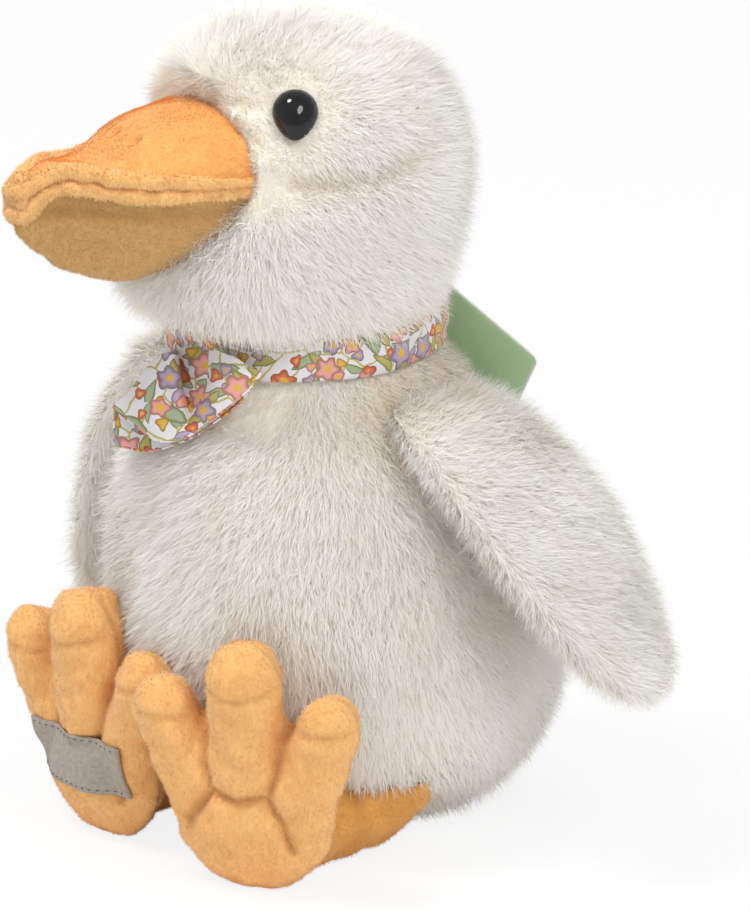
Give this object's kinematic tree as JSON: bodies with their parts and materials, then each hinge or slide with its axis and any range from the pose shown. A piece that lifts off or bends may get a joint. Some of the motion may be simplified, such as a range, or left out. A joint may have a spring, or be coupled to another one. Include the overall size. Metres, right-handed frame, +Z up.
{
  "type": "plush duck",
  "caption": "Sitting plush duck with a stuffed body, turning head, wings and legs that swing, velour bill and feet, a cloth scarf with a bow, and a card tag",
  "frame": {"origin": "on the floor under the neck's axis, at the front of the flat seat", "axes": "+Z up along the neck's axis, -Y ahead, +X to the duck's own left"},
  "size_m": [0.1966, 0.1885, 0.249],
  "materials": {
    "plush": "white plush with a pile of 8 to 10 mm",
    "fibre": "loose polyester fibre",
    "pellet_cloth": "thin cloth bag over plastic pellets",
    "orange_velour": "short velour",
    "tan_velour": "short velour",
    "foot_velour": "short velour",
    "eye_plastic": "polished black",
    "washer_plastic": "natural nylon",
    "print_cotton": "printed cotton lawn",
    "patch_cloth": "grey woven patch",
    "green_card": "coated green card"
  },
  "bodies": {
    "trunk": {"body_skin": "plush", "body_filling": "fibre", "pellet_bag": "pellet_cloth", "tail": "plush", "scarf_band": "print_cotton", "scarf_bow": "print_cotton", "bow_wrap": "print_cotton"},
    "head": {"head_skin": "plush", "head_filling": "fibre", "eye_left": "eye_plastic", "eye_right": "eye_plastic", "eye_washer_left": "washer_plastic", "eye_washer_right": "washer_plastic", "upper_bill": "orange_velour", "lower_bill": "tan_velour", "upper_lip": "orange_velour", "lower_lip": "tan_velour", "bill_filling": "fibre"},
    "left_wing": {"wing_left": "plush", "wing_filling_left": "fibre"},
    "right_wing": {"wing_right": "plush", "wing_filling_right": "fibre"},
    "left_limb": {"leg_left": "foot_velour", "foot_left": "foot_velour"},
    "right_limb": {"leg_right": "foot_velour", "foot_right": "foot_velour", "sole_patch": "patch_cloth"},
    "tag": {"tag_card": "green_card", "tag_pin": "washer_plastic"}
  },
  "joints": [
    {"name": "neck_turn", "type": "hinge", "parent": "trunk", "child": "head", "pos_m": [0, 0, 0.156], "axis": [0, 0, 1], "range_deg": [-34, 76]},
    {"name": "shoulder_left", "type": "hinge", "parent": "trunk", "child": "left_wing", "pos_m": [0.045, 0.003, 0.142], "axis": [0, -1, 0], "range_deg": [0, 60]},
    {"name": "shoulder_right", "type": "hinge", "parent": "trunk", "child": "right_wing", "pos_m": [-0.045, 0.003, 0.142], "axis": [0, 1, 0], "range_deg": [0, 60]},
    {"name": "hip_left", "type": "hinge", "parent": "trunk", "child": "left_limb", "pos_m": [0.028, 0.007, 0.0015], "axis": [1, 0, 0], "range_deg": [0, 60]},
    {"name": "hip_right", "type": "hinge", "parent": "trunk", "child": "right_limb", "pos_m": [-0.028, 0.007, 0.0015], "axis": [1, 0, 0], "range_deg": [0, 60]},
    {"name": "tag_swing", "type": "hinge", "parent": "trunk", "child": "tag", "pos_m": [0, 0.0437, 0.152], "axis": [0.588, -0.277, 0.76], "range_deg": [0, 50]}
  ]
}
